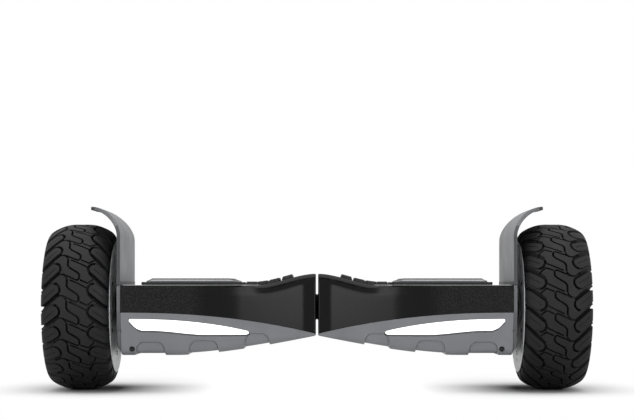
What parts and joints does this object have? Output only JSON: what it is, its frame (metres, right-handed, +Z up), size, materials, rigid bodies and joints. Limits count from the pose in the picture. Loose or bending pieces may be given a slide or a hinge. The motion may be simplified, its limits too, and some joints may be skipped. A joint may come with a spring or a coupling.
{
  "type": "hoverboard",
  "caption": "Two-wheeled self-balancing board: two footboards joined by a pivot tube, each with a hub-motor wheel, all-terrain tyre, fender and sprung foot pad.",
  "frame": {"origin": "on the floor under the middle of the pivot, halfway between the wheels", "axes": "+X along the axle line, +Y to the back of the board, +Z up"},
  "size_m": [0.7, 0.216, 0.2385],
  "materials": {
    "black_shell": "satin black moulded cover, low sheen with a slightly glossy flank",
    "grey_casting": "grey painted die casting, fine satin texture",
    "alloy": "raw casting",
    "wheel_alloy": "satin silver paint on cast aluminium",
    "hub_cap": "moulded",
    "steel": "turned",
    "tyre_rubber": "moulded rubber, matt blocks with finely textured sides",
    "mat_rubber": "moulded rubber with a faint gloss on its raised faces",
    "seal_rubber": "matt",
    "cap_rubber": "matt",
    "lens": "milky white diffuser, lit from behind",
    "socket": "nickel plated",
    "windings": "varnished copper",
    "magnet": "plated",
    "circuit": "solder mask",
    "battery": "shrink wrap",
    "brass": "sintered bronze"
  },
  "bodies": {
    "left_half": {"upper_shell_left": "black_shell", "lower_shell_left": "grey_casting", "fender_left": "grey_casting", "end_plate_left": "grey_casting", "axle_clamp_left": "alloy", "axle_left": "steel", "axle_seal_left": "seal_rubber", "stator_left": "windings", "lens_front_left": "lens", "lens_back_left": "lens", "light_strip_front_left": "circuit", "light_strip_back_left": "circuit", "foot_mat_left": "mat_rubber", "grip_outer_left": "mat_rubber", "grip_inner_left": "mat_rubber", "gyro_board_left": "circuit", "pivot_clamp": "alloy", "pivot_tube": "steel", "thrust_washer": "seal_rubber", "pivot_circlip": "steel", "main_board": "circuit", "charge_socket": "socket"},
    "right_half": {"upper_shell_right": "black_shell", "lower_shell_right": "grey_casting", "fender_right": "grey_casting", "end_plate_right": "grey_casting", "axle_clamp_right": "alloy", "axle_right": "steel", "axle_seal_right": "seal_rubber", "stator_right": "windings", "lens_front_right": "lens", "lens_back_right": "lens", "light_strip_front_right": "circuit", "light_strip_back_right": "circuit", "foot_mat_right": "mat_rubber", "grip_outer_right": "mat_rubber", "grip_inner_right": "mat_rubber", "gyro_board_right": "circuit", "battery_pack": "battery", "pivot_bearing_block": "alloy", "bush_inner": "brass", "bush_outer": "brass"},
    "left_wheel": {"tyre_left": "tyre_rubber", "rim_left": "wheel_alloy", "motor_cover_left": "wheel_alloy", "hub_cap_left": "hub_cap", "magnet_ring_left": "magnet", "bearing_inner_left": "steel", "bearing_outer_left": "steel"},
    "right_wheel": {"tyre_right": "tyre_rubber", "rim_right": "wheel_alloy", "motor_cover_right": "wheel_alloy", "hub_cap_right": "hub_cap", "magnet_ring_right": "magnet", "bearing_inner_right": "steel", "bearing_outer_right": "steel"},
    "left_foot_pad": {"foot_pad_left": "mat_rubber"},
    "right_foot_pad": {"foot_pad_right": "mat_rubber"},
    "power_button_body": {"power_button": "steel"},
    "charge_cap_body": {"charge_cap": "cap_rubber"}
  },
  "joints": [
    {"name": "halves_pivot", "type": "hinge", "parent": "left_half", "child": "right_half", "pos_m": [0, 0, 0.108], "axis": [1, 0, 0], "range_deg": [-12, 12]},
    {"name": "left_wheel_spin", "type": "hinge", "parent": "left_half", "child": "left_wheel", "pos_m": [-0.30725, 0, 0.108], "axis": [1, 0, 0], "continuous": true},
    {"name": "right_wheel_spin", "type": "hinge", "parent": "right_half", "child": "right_wheel", "pos_m": [0.30725, 0, 0.108], "axis": [1, 0, 0], "continuous": true},
    {"name": "left_pad_press", "type": "slide", "parent": "left_half", "child": "left_foot_pad", "axis": [0, 0, 1], "range_m": [-0.0015, 0], "stiffness_N_per_m": 9000, "springref_m": 0.0006},
    {"name": "right_pad_press", "type": "slide", "parent": "right_half", "child": "right_foot_pad", "axis": [0, 0, 1], "range_m": [-0.0015, 0], "stiffness_N_per_m": 9000, "springref_m": 0.0006},
    {"name": "power_button_press", "type": "slide", "parent": "left_half", "child": "power_button_body", "axis": [0, -1, 0], "range_m": [0, 0.0012], "stiffness_N_per_m": 900, "springref_m": -0.001},
    {"name": "charge_cap_hinge", "type": "hinge", "parent": "left_half", "child": "charge_cap_body", "pos_m": [-0.17, 0.09585, 0.1077], "axis": [-1, 0, 0], "range_deg": [0, 115]}
  ]
}
